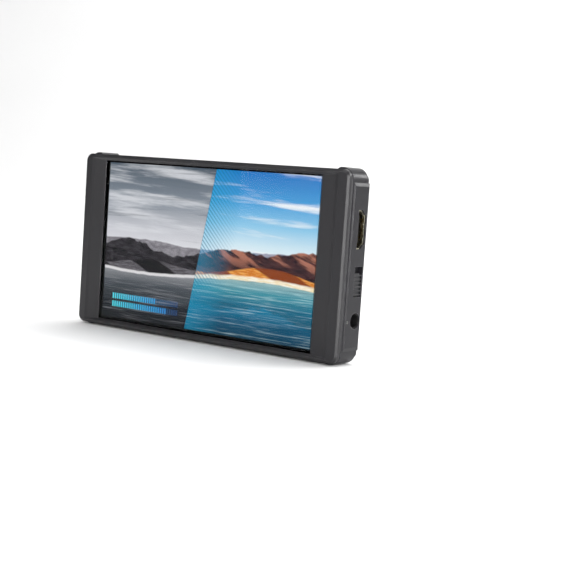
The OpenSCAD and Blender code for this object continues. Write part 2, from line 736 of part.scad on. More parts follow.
// The slot in the side wall for a ribbed knob, and the room that its flange takes behind the wall
module knob_slot(y, z) {
  flange_w = knob_w + 2*knob_flange_over + 2*slip;
  flange_l = slot_l + 2*knob_travel + 2*knob_flange_over + 2*slip;
  block([half_w - 2*wall, side_x + over], [y - slot_w/2, y + slot_w/2], [z - slot_l/2, z + slot_l/2]);
  block([half_w - wall - knob_flange_t - 2*slip, half_w - wall], [y - flange_w/2, y + flange_w/2],
    [z - flange_l/2, z + flange_l/2]);
}

module top_trim() color(brushed) placed() on_chamfer(true) slab(-trim_t + 0.02, 0.05) trim_outline(0);

module bottom_trim() color(brushed) placed() on_chamfer(false) slab(-trim_t + 0.02, 0.05) trim_outline(0);

// Two sheet metal hooks that grip the battery's grooves in the end channel
module battery_hooks() color(dull_steel) placed() {
  x0 = channel_x0 + 0.4;
  x1 = x0 + hook_l;
  y1 = channel_y + hook_h;
  for (s = [-1, 1]) translate([0, 0, bay_z + s*(bay_h/2 - hook_in)]) {
    block([x0, x1], [channel_y, channel_y + hook_t], [-hook_w/2, hook_w/2]);
    block([x1 - hook_t, x1], [channel_y, y1], [-hook_neck_w/2, hook_neck_w/2]);
    block([x0, x1], [y1 - hook_t, y1], [-hook_lip_w/2, hook_lip_w/2]);
  }
}

// The block that holds the contact blades, with a slot round each blade
module contact_block() color(socket_black) placed() {
  x1 = channel_x1 - fit;
  y = channel_y + block_h/2;
  slot = [blade_w/2 + blade_gap, blade_t/2 + blade_gap];
  difference() {
    block([x1 - block_l, x1], [channel_y, channel_y + block_h], [bay_z - block_w/2, bay_z + block_w/2]);
    for (i = [-1, 0, 1]) translate([0, y, bay_z + blade_pitch*i])
      block([x1 - block_l - over, x1 - blade_root], [-slot[0], slot[0]], [-slot[1], slot[1]]);
  }
}

module battery_contacts() color(gold) placed() {
  x1 = channel_x1 - fit;
  for (i = [-1, 0, 1]) translate([0, channel_y + block_h/2, bay_z + blade_pitch*i])
    block([x1 - block_l - blade_out, x1 - blade_root], [-blade_w/2, blade_w/2], [-blade_t/2, blade_t/2]);
}

module bay_label() color([0.10, 0.10, 0.10]) placed()
  slab(bay_floor_y, bay_floor_y + 0.15) translate([bay_label_x, bay_z - label_drop])
    round_rect(bay_label_w, bay_label_h, 0.8);

module side_label() color([0.10, 0.10, 0.12]) placed()
  slab(bay_floor_y, bay_floor_y + 0.2) translate([side_label_x, bay_z - label_drop])
    round_rect(side_label_w, side_label_h, 1.8);

// The release slider: a visible knob with a finger well on a wider hidden flange
module release_slider() color(housing_black) placed() difference() {
  union() {
    block([knob_left, knob_left + latch_knob_w], [flange_y1 - 0.1, field_y - 0.3],
      [knob_low, knob_low + latch_knob_h]);
    block([knob_left - flange_over, knob_left + latch_knob_w + flange_over], [flange_y0, flange_y1],
      [knob_low - flange_drop, flange_top]);
  }
  flared_cut([knob_left + 2.2, knob_left + latch_knob_w - 2.2],
    [knob_low + 0.35*latch_knob_h, knob_low + 0.75*latch_knob_h],
    field_y - 1.2, field_y + over, 1, 0.6);
}

module latch_tooth() color(dull_steel) placed()
  block([tooth_left, tooth_left + tooth_w], [tooth_y0, flange_y0], [knob_low + 1, bay_bottom + tooth_reach]);

// A compression spring between the slider's flange and a rib of the housing
module latch_spring() color(dull_steel) placed() translate([spring_x0 + wire_r, spring_y, spring_z])
  rotate([0, 90, 0]) coil(spring_r, wire_r, spring_turns, spring_l - 2*wire_r);

// A round wire swept along a helix about Z, as one closed tube
module coil(r, wire, turns, length) {
  per_turn = 12;
  sides = 6;
  rings = turns*per_turn;
  points = [for (i = [0:rings], k = [0:sides - 1])
    let (a = 360*i/per_turn, b = 360*k/sides, d = r + wire*cos(b))
    [d*cos(a), d*sin(a), length*i/rings + wire*sin(b)]];
  walls = [for (i = [0:rings - 1], k = [0:sides - 1])
    let (a = i*sides + k, b = i*sides + (k + 1) % sides)
    [a, a + sides, b + sides, b]];
  ends = [[for (k = [0:sides - 1]) k], [for (k = [sides - 1:-1:0]) rings*sides + k]];
  polyhedron(points = points, faces = concat(walls, ends));
}

// The keeper plate holds the slider and its tooth against the back wall
module latch_keeper() color(dull_steel) placed() difference() {
  y = [keeper_y0, keeper_y0 + keeper_t];
  ear = keeper_holes[1];
  ear_r = 1.6;
  union() {
    block([keeper_left, keeper_right], y, [latch_bottom - 0.7, flange_top - 0.9]);
    rod_y(ear[0], ear[1], y[0], y[1], ear_r);
    block([ear[0] - ear_r, ear[0] + ear_r], y, [ear[1], latch_bottom]);
  }
  for (p = keeper_holes) rod_y(p[0], p[1], 0, body_d, keeper_screw_r + 2*running);
}

module keeper_screws() color(dull_steel) placed()
  for (p = keeper_holes)
    front_screw(p[0], p[1], keeper_y0, keeper_t + 1.8, keeper_screw_r, 1.1, 0.45);

// A screw whose head faces the front and whose shank runs towards the back from depth y
module front_screw(x, z, y, l, r, head_r, head_t) difference() {
  union() {
    rod_y(x, z, y, y + l, r);
    rod_y(x, z, y - head_t, y, head_r);
  }
  for (a = [[0.3, 1.2], [1.2, 0.3]])
    translate([x, y - head_t, z]) cube([a[0], head_t, a[1]], center = true);
}

// The board is narrower at the left, where the sockets sit level with it, and notched for the
// power jack and the tripod insert
module main_board() color(board_green) placed() difference() {
  block([-board_edge_left, board_edge_right], [board_y, board_back], [-board_h/2, board_h/2]);
  for (sx = [-1, 1], sz = [-1, 1]) rod_y(sx*post_x, sz*post_z, 0, body_d, screw_r + 3*running);
  slab(0, body_d) translate([0, -half_h]) square([2*insert_boss_r + 1, 2*insert_l + wall], center = true);
  block([side_x - jack_l - 0.5, half_w], [0, body_d],
    [power_jack_z - jack_r - 0.3, power_jack_z + jack_r + 0.3]);
}

module board_screws() color(dull_steel) placed()
  for (sx = [-1, 1], sz = [-1, 1])
    front_screw(sx*post_x, sz*post_z, board_y, board_t + board_screw_l, screw_r, screw_head_r, screw_head_t);

module processor() color(socket_black) placed() {
  slab(board_back, board_back + chip_base_t) translate([chip_x, chip_z]) square(chip_w, center = true);
  slab(board_back + chip_base_t, board_back + chip_t) translate([chip_x, chip_z])
    square(chip_w - 1.6, center = true);
}

// A finned heat sink between the processor and the back wall
module heat_sink() color([0.78, 0.79, 0.80]) placed() {
  y0 = board_back + chip_t;
  y1 = y0 + sink_base_t;
  x0 = chip_x - sink_w/2;
  z = [chip_z - sink_h/2, chip_z + sink_h/2];
  fins = floor((sink_w - fin_t)/fin_pitch) + 1;
  block([x0, x0 + sink_w], [y0, y1], z);
  for (i = [0:fins - 1]) block([x0 + fin_pitch*i, x0 + fin_pitch*i + fin_t], [y1, slab_y - 0.2], z);
}

// A pressed metal can over the video receiver, open towards the board
module shield_can() color(dull_steel) placed() difference() {
  z = [video_in_z - can_h/2, video_in_z + can_h/2];
  block([can_x0, can_x1], [board_back, board_back + can_d], z);
  block([can_x0 + can_t, can_x1 - can_t], [board_back - over, board_back + can_d - can_t],
    [z[0] + can_t, z[1] - can_t]);
}

// A ribbed knob, its hidden flange and its stem, drawn on the right side at the low end of its slot
module slide_knob(y, z) {
  low = z - slot_l/2 + slip;
  outer = side_x - knob_sink;
  inner = half_w - wall - slip;
  rib_w = 0.75;
  rib_h = 0.5;
  ribs = floor((knob_l - rib_w)/rib_pitch) + 1;
  margin = (knob_l - rib_w - (ribs - 1)*rib_pitch)/2;
  block([inner - knob_flange_t, outer - rib_h], [y - knob_w/2, y + knob_w/2], [low, low + knob_l]);
  for (i = [0:ribs - 1]) translate([0, y, low + margin + i*rib_pitch])
    rotate([90, 0, 0]) translate([0, 0, -knob_w/2]) linear_extrude(knob_w)
      polygon([[outer - rib_h - 0.1, 0], [outer - rib_h, 0], [outer, 0.2], [outer, rib_w - 0.2],
        [outer - rib_h, rib_w], [outer - rib_h - 0.1, rib_w]]);
  block([inner - knob_flange_t, inner], [y - knob_w/2 - knob_flange_over, y + knob_w/2 + knob_flange_over],
    [low - knob_travel - knob_flange_over, low + knob_l + knob_travel + knob_flange_over]);
  block([stem_x, inner], [y - stem_w/2, y + stem_w/2],
    [z - knob_travel/2 - stem_l/2, z - knob_travel/2 + stem_l/2]);
}

// The switch that a knob's stem works, with a slot for the stem's travel and a foot on the board
module slide_switch(y, z) {
  difference() {
    block([switch_x0, switch_x1], [y - switch_w/2, y + switch_w/2], [z - switch_l/2, z + switch_l/2]);
    block([stem_x - slip - 0.1, half_w], [y - stem_w/2 - slip, y + stem_w/2 + slip],
      [z - knob_travel/2 - stem_l/2 - slip, z + knob_travel/2 + stem_l/2 + slip]);
  }
  block([switch_x0, switch_x0 + foot_t], [board_back, y], [z - foot_l/2, z + foot_l/2]);
  board_foot(switch_x0, z);
}

module power_switch_knob() color(frame_black) placed() slide_knob(right_y, power_switch_z);

module power_switch_body() color(socket_black) placed() slide_switch(right_y, power_switch_z);

module lock_switch_knob() color(frame_black) placed() on_left() slide_knob(lock_switch_y, lock_switch_z);

module lock_switch_body() color(socket_black) placed() on_left() slide_switch(lock_switch_y, lock_switch_z);

// The input's shell is turned over, lies below the side face and stands on two legs on the board
module video_in_shell() color(champagne) placed() {
  socket_shell(right_y, video_in_z, side_x - video_in_sink) {
    mirror([1, 0]) video_outline(0);
    mirror([1, 0]) video_outline(shell_t);
  }
  for (s = [-1, 1]) translate([0, 0, video_in_z + s*(video_w/2 - 1)])
    block([socket_in + 1, socket_in + 3], [board_back, right_y - video_t/2 + shell_t/2], [-0.5, 0.5]);
}

module video_in_tongue() color(socket_black) placed() {
  translate([0, right_y, video_in_z]) mirror([0, 1, 0]) video_tongue(side_x - video_in_sink);
  insulator_tail(right_y, video_in_z);
}

module video_out_shell() color(champagne) placed() on_left() socket_shell(left_y, video_out_z, side_x) {
  video_outline(0);
  video_outline(shell_t);
}

module video_out_tongue() color(socket_black) placed() on_left() {
  translate([0, left_y, video_out_z]) video_tongue(side_x);
  insulator_tail(left_y, video_out_z);
}

// The insulator that fills the back of a video shell, which ends at x1, and carries the contact tongue
module video_tongue(x1) {
  gap = 0.02;
  along_x(socket_in - insulator_over, socket_in + 3) video_outline(shell_t + gap);
  block([socket_in, x1 - 1.2], [-0.65, 0.65], [-video_w/2 + 2.3, video_w/2 - 2.3]);
}

module data_port_shell() color(champagne) placed() on_left() socket_shell(left_y, data_z, side_x) {
  data_outline(data_w, data_t);
  data_outline(data_w - 2*shell_t, data_t - 2*shell_t);
}

// The insulator of the data socket, with its tongue towards the back
module data_port_tongue() color([0.85, 0.85, 0.82]) placed() on_left() {
  gap = 0.02;
  translate([0, left_y, data_z]) {
    along_x(socket_in - insulator_over, socket_in + 2.4)
      data_outline(data_w - 2*shell_t - 2*gap, data_t - 2*shell_t - 2*gap);
    block([socket_in, side_x - 0.9], [0.35, data_t/2 - shell_t - 0.25], [-data_w/2 + 1, data_w/2 - 1]);
  }
  insulator_tail(left_y, data_z);
}

// The headphone jack: a moulded block with a foot on the board and a nose, bored for the plug
module headphone_jack() color(socket_black) placed() on_left() difference() {
  union() {
    block([phone_x0, phone_x1], [left_y - phone_w/2, left_y + phone_w/2],
      [phone_z - phone_h/2, phone_z + phone_h/2]);
    rod_x(left_y, phone_z, phone_x1, side_x - 0.5, phone_ring_r - 0.35);
    board_foot(phone_x0, phone_z);
  }
  rod_x(left_y, phone_z, phone_x0 + foot_t, side_x + over, phone_bore_r);
}

module headphone_ring() color(gold) placed() on_left() difference() {
  rod_x(left_y, phone_z, side_x - 1.1, side_x + 0.05, phone_ring_r);
  rod_x(left_y, phone_z, side_x - 2, side_x - 0.5 + running, phone_ring_r - 0.35 + running);
  rod_x(left_y, phone_z, side_x - 2, side_x + over, phone_bore_r + 0.1);
}

module power_jack() color(socket_black) placed() difference() {
  rod_x(power_jack_y, power_jack_z, side_x - jack_l, side_x - 0.4, jack_r);
  rod_x(power_jack_y, power_jack_z, side_x - jack_l + 1.5, side_x + over, jack_bore_r);
}

module power_jack_pin() color(dull_steel) placed()
  rod_x(power_jack_y, power_jack_z, side_x - jack_l + 1.5, side_x - 3, 1);

module status_light() color([0.85, 0.88, 0.85]) placed()
  rod_x(status_y, status_z, half_w - wall, side_x + 0.03, status_r - running);

// A brass insert with the thread drawn as a plain bore of its largest diameter
module tripod_insert() color(gold) placed() translate([0, insert_y, -half_h]) difference() {
  cylinder(h = insert_l, r = insert_r);
  translate([0, 0, -over]) cylinder(h = insert_l + 2*over, r = insert_bore_r);
}

front_frame();
cover_glass();
glass_gasket();
display_panel();
backlight();
chassis_plate();
chassis_screws();
display_flex();
flex_connector();
rear_housing();
top_trim();
bottom_trim();
battery_hooks();
contact_block();
battery_contacts();
bay_label();
side_label();
release_slider();
latch_tooth();
latch_spring();
latch_keeper();
keeper_screws();
main_board();
board_screws();
processor();
heat_sink();
shield_can();
power_switch_knob();
power_switch_body();
lock_switch_knob();
lock_switch_body();
video_in_shell();
video_in_tongue();
video_out_shell();
video_out_tongue();
data_port_shell();
data_port_tongue();
headphone_jack();
headphone_ring();
power_jack();
power_jack_pin();
status_light();
tripod_insert();
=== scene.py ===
import bpy, bmesh, json, math
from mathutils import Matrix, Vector


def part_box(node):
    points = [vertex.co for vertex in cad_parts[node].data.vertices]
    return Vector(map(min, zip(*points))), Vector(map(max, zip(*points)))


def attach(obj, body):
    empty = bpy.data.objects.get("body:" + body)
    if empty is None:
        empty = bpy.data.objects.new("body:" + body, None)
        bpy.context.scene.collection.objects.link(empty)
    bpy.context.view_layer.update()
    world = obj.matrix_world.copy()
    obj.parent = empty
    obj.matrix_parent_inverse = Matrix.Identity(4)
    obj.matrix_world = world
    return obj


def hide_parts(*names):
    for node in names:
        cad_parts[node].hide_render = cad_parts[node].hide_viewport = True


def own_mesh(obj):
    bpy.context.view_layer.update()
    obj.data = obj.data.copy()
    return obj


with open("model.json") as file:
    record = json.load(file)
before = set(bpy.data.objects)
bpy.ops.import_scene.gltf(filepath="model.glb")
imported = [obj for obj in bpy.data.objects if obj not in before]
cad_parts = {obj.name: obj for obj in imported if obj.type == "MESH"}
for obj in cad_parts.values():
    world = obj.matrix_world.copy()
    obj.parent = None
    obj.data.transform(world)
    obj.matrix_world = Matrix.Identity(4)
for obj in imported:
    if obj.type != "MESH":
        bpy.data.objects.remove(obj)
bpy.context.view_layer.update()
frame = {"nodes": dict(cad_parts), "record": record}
NODES = frame["nodes"]
MM = 0.001


# ---------------------------------------------------------------- node helpers

def linear(code):
    """A hex colour as linear values."""
    values = [int(code[i:i + 2], 16) / 255 for i in (1, 3, 5)]
    lit = [v / 12.92 if v <= 0.04045 else ((v + 0.055) / 1.055) ** 2.4 for v in values]
    return tuple(lit) + (1.0,)


class Tree:
    """Builds a material's nodes. A value may be a number, a colour or another node's output."""

    def __init__(self, name):
        self.material = bpy.data.materials.new(name)
        self.material.use_nodes = True
        self.tree = self.material.node_tree
        self.tree.nodes.clear()
        self.out = self.tree.nodes.new("ShaderNodeOutputMaterial")

    def put(self, socket, value):
        """Links an output to the socket, or sets the socket's own value. None changes nothing."""
        if isinstance(value, bpy.types.NodeSocket):
            self.tree.links.new(value, socket)
        elif value is not None:
            if hasattr(socket.default_value, "__len__") and not hasattr(value, "__len__"):
                value = (value,) * len(socket.default_value)
            if hasattr(value, "__len__"):
                value = tuple(value)[:len(socket.default_value)]
            socket.default_value = value

    def add(self, kind, inputs=None, **settings):
        n = self.tree.nodes.new("ShaderNode" + kind)
        for k, v in settings.items():
            setattr(n, k, v)
        for k, v in (inputs or {}).items():
            self.put(n.inputs[k], v)
        return n

    def math(self, op, a, b=None, c=None):
        n = self.add("Math", operation=op)
        for i, v in enumerate((a, b, c)):
            self.put(n.inputs[i], v)
        return n.outputs[0]

    def step(self, value, low, high, a=0.0, b=1.0, smooth=True):
        """a where value is under low, b over high, and a soft change between."""
        kind = "SMOOTHSTEP" if smooth else "LINEAR"
        inputs = {"Value": value, "From Min": low, "From Max": high, "To Min": a, "To Max": b}
        return self.add("MapRange", inputs, interpolation_type=kind, clamp=True).outputs[0]

    def mix(self, factor, a, b, blend="MIX"):
        """Colour a where the factor is 0 and b where it is 1."""
        inputs = {0: factor, 6: a, 7: b}    # the node's sockets for colours
        n = self.add("Mix", inputs, data_type="RGBA", blend_type=blend, clamp_factor=True)
        return n.outputs[2]

    def ramp(self, value, stops):
        n = self.add("ValToRGB")
        e = n.color_ramp.elements
        while len(e) < len(stops):
            e.new(0.5)
        for i, (at, colour) in enumerate(stops):
            e[i].position = at
            e[i].color = colour
        self.put(n.inputs[0], value)
        return n.outputs[0]

    def place(self):
        """The point's place in metres, which moves with the object."""
        return self.add("TexCoord").outputs["Object"]

    def scaled(self, place, x, y, z):
        return self.add("Mapping", {"Vector": place, "Scale": (x, y, z)}).outputs[0]

    def noise(self, place, scale, detail=2.0, rough=0.5):
        inputs = {"Vector": place, "Scale": scale, "Detail": detail, "Roughness": rough}
        return self.add("TexNoise", inputs, noise_dimensions="3D").outputs["Fac"]

    def xyz(self, place):
        n = self.add("SeparateXYZ", {0: place})
        return n.outputs[0], n.outputs[1], n.outputs[2]

    def join(self, x, y, z=0.0):
        return self.add("CombineXYZ", {0: x, 1: y, 2: z}).outputs[0]

    def surface(self, **inputs):
        """The material's shader. An input's name has _ for a space."""
        b = self.add("BsdfPrincipled")
        for k, v in inputs.items():
            self.put(b.inputs[k.replace("_", " ")], v)
        self.tree.links.new(b.outputs[0], self.out.inputs[0])
        return b

    def rounded(self, radius):
        """The normal with edges rounded off, and how near an edge the point is, from 0 to 1."""
        away_from_edge, at_edge = 0.995, 0.80
        bevel = self.add("Bevel", {"Radius": radius}, samples=6).outputs[0]
        flat = self.add("NewGeometry").outputs["Normal"]
        same = self.add("VectorMath", {0: bevel, 1: flat}, operation="DOT_PRODUCT").outputs["Value"]
        return bevel, self.step(same, away_from_edge, at_edge, 0.0, 1.0)

    def bump(self, height, strength, distance, normal=None):
        inputs = {"Height": height, "Strength": strength, "Distance": distance, "Normal": normal}
        return self.add("Bump", inputs).outputs[0]


def hexes(*pairs):
    """Ramp stops from pairs of a place and a hex colour."""
    return [(at, linear(code)) for at, code in pairs]


def lighter(code, gain, lift=0.0):
    """A hex colour as linear values, made lighter."""
    return tuple(v * gain + lift for v in linear(code)[:3]) + (1.0,)


# ---------------------------------------------------------------- materials

FINE_RELIEF = 0.02 * MM
GRAIN_RELIEF = 0.03 * MM
TRACK_RELIEF = 0.04 * MM


def moulded(name, colour, rough=0.42, grain=1.0, edge=0.18 * MM, edge_wear_and_highlight=0.35, light="#77777c",
            level=0.42):
    """Moulded plastic: spark-eroded grain, slow changes of gloss, and edges of a lighter colour,
    partly worn by handling and partly a painted highlight along the bevels."""
    t = Tree(name)
    p = t.place()
    normal, rim = t.rounded(edge)
    fine = t.noise(p, 5200, 2.0, 0.6)
    coarse = t.noise(p, 1500, 1.0, 0.5)
    slow = t.noise(p, 55, 3.0, 0.55)
    edge_patches = t.noise(p, 210, 2.0, 0.5)
    base = t.mix(t.step(slow, 0.3, 0.7, 0.0, 0.35), linear(colour), lighter(colour, 1.35))
    # edges lighter in patches: partly handling wear, partly a painted highlight along the bevels
    painted_highlight_and_wear = t.math("MULTIPLY", rim, t.step(edge_patches, 0.35, 0.75, 0.15 * edge_wear_and_highlight, edge_wear_and_highlight))
    base = t.mix(painted_highlight_and_wear, base, linear(light))
    gloss = t.math("ADD", t.step(slow, 0.25, 0.75, rough - 0.05, rough + 0.07),
                   t.step(fine, 0.2, 0.8, -0.03, 0.03))
    gloss = t.math("SUBTRACT", gloss, t.math("MULTIPLY", rim, 0.10))
    height = t.math("ADD", fine, t.math("MULTIPLY", coarse, 0.6))
    t.surface(Base_Color=base, Roughness=gloss, Specular_IOR_Level=level,
              Normal=t.bump(height, 0.22 * grain, GRAIN_RELIEF, normal))
    return t.material


def metal(name, colour, rough=0.3, stretch=(1, 1, 1), strength=0.12, edge=0.12 * MM,
          dark="#3a3a3c"):
    """Bare metal with fine tool or rolling marks, long where stretch is small, and faint stains."""
    t = Tree(name)
    p = t.place()
    normal, rim = t.rounded(edge)
    marks = t.noise(t.scaled(p, *stretch), 4200, 3.0, 0.65)
    slow = t.noise(p, 160, 3.0, 0.6)
    base = t.mix(t.step(slow, 0.45, 0.85, 0.0, 0.15), linear(colour), linear(dark))
    base = t.mix(t.math("MULTIPLY", rim, 0.3), base, linear("#e6e6e6"))
    gloss = t.math("ADD", t.step(marks, 0.25, 0.75, rough - 0.07, rough + 0.08),
                   t.step(slow, 0.3, 0.8, -0.03, 0.05))
    t.surface(Base_Color=base, Metallic=1.0, Roughness=gloss,
              Normal=t.bump(marks, strength, FINE_RELIEF, normal))
    return t.material


def brushed_strip(name):
    """The bright trim: brush lines along its length, broader bands and slow changes of tone."""
    t = Tree(name)
    p = t.place()
    normal, rim = t.rounded(0.10 * MM)
    lines = t.noise(t.scaled(p, 0.012, 1, 1), 5200, 4.0, 0.7)
    bands = t.noise(t.scaled(p, 0.02, 1, 1), 900, 2.0, 0.6)
    slow = t.noise(t.scaled(p, 0.4, 1, 1), 70, 2.0, 0.5)
    base = t.mix(t.step(lines, 0.25, 0.75), linear("#77777c"), linear("#b4b4b9"))
    base = t.mix(t.step(slow, 0.3, 0.8, 0.0, 0.30), base, linear("#66666b"))
    base = t.mix(t.math("MULTIPLY", rim, 0.5), base, linear("#f0f0f2"))
    gloss = t.math("ADD", t.step(lines, 0.2, 0.8, 0.34, 0.50), t.step(bands, 0.3, 0.7, -0.04, 0.04))
    height = t.math("ADD", lines, t.math("MULTIPLY", bands, 0.5))
    t.surface(Base_Color=base, Metallic=0.9, Roughness=gloss, Anisotropic=0.5,
              Normal=t.bump(height, 0.16, FINE_RELIEF, normal))
    return t.material


def film(name, colour, rough=0.35, border=None):
    """A plastic film. A border is given as middle x, middle z, half width, half height, gap to
    the edge and line width, in metres."""
    t = Tree(name)
    p = t.place()
    normal, rim = t.rounded(0.08 * MM)
    fine = t.noise(p, 3000, 2.0, 0.5)
    slow = t.noise(p, 90, 2.0, 0.5)
    base = t.mix(t.step(slow, 0.3, 0.7), linear(colour), lighter(colour, 1.5, 0.001))
    if border:
        middle_x, middle_z, half_w, half_h, gap, line = border
        corner, blur = 0.4 * MM, 0.05 * MM
        x, _, z = t.xyz(p)
        dx = t.math("SUBTRACT", t.math("ABSOLUTE", t.math("SUBTRACT", x, middle_x)), half_w - gap)
        dz = t.math("SUBTRACT", t.math("ABSOLUTE", t.math("SUBTRACT", z, middle_z)), half_h - gap)
        d = t.math("ABSOLUTE", t.math("SMOOTH_MAX", dx, dz, corner))
        ink = t.step(d, line / 2, line / 2 + blur, 1.0, 0.0)
        ink = t.math("MULTIPLY", ink, t.step(fine, 0.2, 0.5, 0.75, 1.0))
        base = t.mix(ink, base, linear("#b3ae7c"))
    base = t.mix(t.math("MULTIPLY", rim, 0.3), base, linear("#6b6b6d"))
    t.surface(Base_Color=base, Roughness=t.step(slow, 0.3, 0.7, rough - 0.06, rough + 0.08),
              Specular_IOR_Level=0.2, Normal=t.bump(fine, 0.08, FINE_RELIEF, normal))
    return t.material


def clear_glass(name):
    """Coated cover glass: polished, with faint finger marks and a little dust."""
    t = Tree(name)
    p = t.place()
    smear = t.noise(t.scaled(p, 1, 1, 0.45), 38, 4.0, 0.6)
    dust = t.noise(p, 900, 1.0, 0.5)
    gloss = t.math("ADD", t.step(smear, 0.45, 0.8, 0.0, 0.05), t.step(dust, 0.68, 0.80, 0.0, 0.08))
    t.surface(Base_Color=linear("#fdfefe"), Roughness=gloss, IOR=1.11, Transmission_Weight=1.0,
              Normal=t.bump(smear, 0.02, FINE_RELIEF))
    return t.material


def light_pipe(name):
    """The clouded plastic of the status light."""
    t = Tree(name)
    cloud = t.noise(t.place(), 2500, 2.0, 0.5)
    t.surface(Base_Color=linear("#5f6462"), Roughness=t.step(cloud, 0.3, 0.7, 0.22, 0.36),
              Transmission_Weight=0.6, Subsurface_Weight=0.2, Subsurface_Scale=0.5 * MM,
              Normal=t.bump(cloud, 0.1, FINE_RELIEF))
    return t.material


def circuit_board(name):
    """Green solder mask with a pattern of tracks and a few tinned specks."""
    t = Tree(name)
    p = t.place()
    fine = t.noise(p, 900, 2.0, 0.5)
    tracks = t.add("TexBrick", {
        "Vector": p, "Color1": linear("#0f4a2c"), "Color2": linear("#12583a"),
        "Mortar": linear("#0a3320"), "Scale": 420.0, "Mortar Size": 0.03})
    base = t.mix(t.step(fine, 0.62, 0.66), tracks.outputs[0], linear("#b9a468"))
    t.surface(Base_Color=base, Roughness=t.step(fine, 0.3, 0.7, 0.25, 0.40),
              Normal=t.bump(tracks.outputs[1], 0.15, TRACK_RELIEF))
    return t.material


def picture(name):
    """The display's own picture: a made-up dune coast, flat grey left of a slanted split and in
    full colour right of it, with diagonal exposure stripes beside the split and two rows of level
    segments."""
    t = Tree(name)
    w, h, x0, z0 = 113.3 * MM, 67.6 * MM, -56.3 * MM, 4.9 * MM
    x, _, z = t.xyz(t.place())
    # u goes from 0 to 1 across the picture, and v from 0 to 1 up it
    u = t.math("DIVIDE", t.math("SUBTRACT", x, x0), w)
    v = t.math("DIVIDE", t.math("SUBTRACT", z, z0), h)
    split = t.math("MULTIPLY_ADD", v, 0.11, 0.425)

    def total(*values):
        out = values[0]
        for value in values[1:]:
            out = t.math("ADD", out, value)
        return out

    def wave(size, rate, phase):
        return t.math("MULTIPLY", t.math("SINE", t.math("MULTIPLY_ADD", u, rate, phase)), size)

    def rise(middle, width, size):
        """A smooth hump of the given size along u."""
        d = t.math("DIVIDE", t.math("SUBTRACT", u, middle), width)
        fall = t.math("MULTIPLY", t.math("MULTIPLY", d, d), -1.0)
        return t.math("MULTIPLY", t.math("EXPONENT", fall), size)

    def crumble(size, scale, seed):
        """Small breaks in an outline."""
        along = t.math("MULTIPLY_ADD", u, scale, seed)
        inputs = {"W": along, "Scale": 1.0, "Detail": 4.0, "Roughness": 0.5}
        n = t.add("TexNoise", inputs, noise_dimensions="1D").outputs["Fac"]
        return t.math("MULTIPLY", t.math("SUBTRACT", n, 0.5), size)

    def below(edge, soft=0.005, at=None):
        """1 under the outline and 0 over it."""
        return t.step(t.math("SUBTRACT", edge, v if at is None else at), -soft, soft)

    def texture(su, sv, scale, detail=4.0, rough=0.55, seed=0.0, lean=0.0):
        along = t.math("ADD", t.math("MULTIPLY", u, su), t.math("MULTIPLY", v, lean))
        return t.noise(t.join(along, t.math("MULTIPLY", v, sv), seed), scale, detail, rough)

    def two(factor, low, high):
        return t.mix(factor, linear(low), linear(high))

    # outlines, as heights above the lower edge
    haze = total(0.515, wave(0.012, 8.5, 0.3), crumble(0.030, 9.0, 2.0))
    coast = total(0.435, rise(0.62, 0.16, 0.085), rise(0.98, 0.20, 0.115), rise(0.12, 0.13, 0.090),
                  crumble(0.040, 22.0, 9.0))
    dune = total(0.335, rise(0.80, 0.24, 0.100), rise(0.24, 0.20, 0.065), crumble(0.008, 12.0, 5.0))
    shore = total(0.325, wave(0.024, 5.6, 3.6), crumble(0.010, 18.0, 4.0))
    mirrored = below(coast, 0.012, t.math("SUBTRACT", t.math("MULTIPLY", shore, 2.0), v))

    # grain of each surface
    streaks = texture(0.9, 5.5, 2.2, 6.0, 0.6, 3.1, 2.6)
    wisps = texture(0.6, 10.0, 3.0, 5.0, 0.6, 7.7, -1.8)
    stone = texture(9, 14, 3.0, 6.0, 0.65, 1.7)
    folds = texture(7, 5, 2.0, 4.0, 0.55, 4.4, 9.0)
    sand_lines = texture(8, 46, 3.0, 4.0, 0.6, 8.2, 6.0)
    ripple = texture(2.0, 42.0, 3.0, 4.0, 0.6, 2.5)
    slant = t.math("SINE", t.math("MULTIPLY_ADD", u, 19.0, t.math("MULTIPLY", v, 26.0)))
    lee = t.step(t.math("SUBTRACT", slant, t.math("MULTIPLY", folds, 0.8)), -0.5, -0.1)

    # full colour
    sky = t.ramp(v, hexes((0.47, "#f4fafc"), (0.56, "#d4ebf6"), (0.68, "#8fcbec"),
                          (0.82, "#459fdb"), (1.0, "#1f74c4")))
    sky = t.mix(t.step(streaks, 0.54, 0.72, 0.0, 0.85), sky, linear("#ffffff"))
    far = two(t.step(stone, 0.35, 0.65), "#7f8fa8", "#a9a6b6")
    rock = two(t.step(stone, 0.35, 0.65), "#22151c", "#4f2f31")
    sunlit = t.math("MULTIPLY", t.step(folds, 0.47, 0.60), t.step(v, 0.40, 0.50, 0.2, 0.9))
    rock = t.mix(sunlit, rock, linear("#b57560"))
    bank = t.mix(lee, two(t.step(sand_lines, 0.4, 0.62), "#d27a2c", "#f0ad55"), linear("#8a3f17"))
    sand = two(t.step(sand_lines, 0.4, 0.6), "#f4e0b6", "#fff8ea")
    water = t.ramp(v, hexes((0.0, "#07374f"), (0.10, "#0c5577"), (0.20, "#1880a6"),
                            (0.28, "#4db4c8"), (0.34, "#b9e6ea")))
    water = t.mix(t.math("MULTIPLY", mirrored, 0.42), water, linear("#1c3a44"))
    water = t.mix(t.step(ripple, 0.52, 0.70, 0.0, 0.40), water, linear("#d2f2f4"))
    water = t.mix(t.step(ripple, 0.48, 0.30, 0.0, 0.35), water, linear("#073246"))
    col = t.mix(below(haze), sky, far)
    col = t.mix(below(coast), col, rock)
    col = t.mix(below(dune), col, bank)
    col = t.mix(below(t.math("ADD", shore, 0.026), 0.007), col, sand)
    col = t.mix(below(shore, 0.004), col, water)

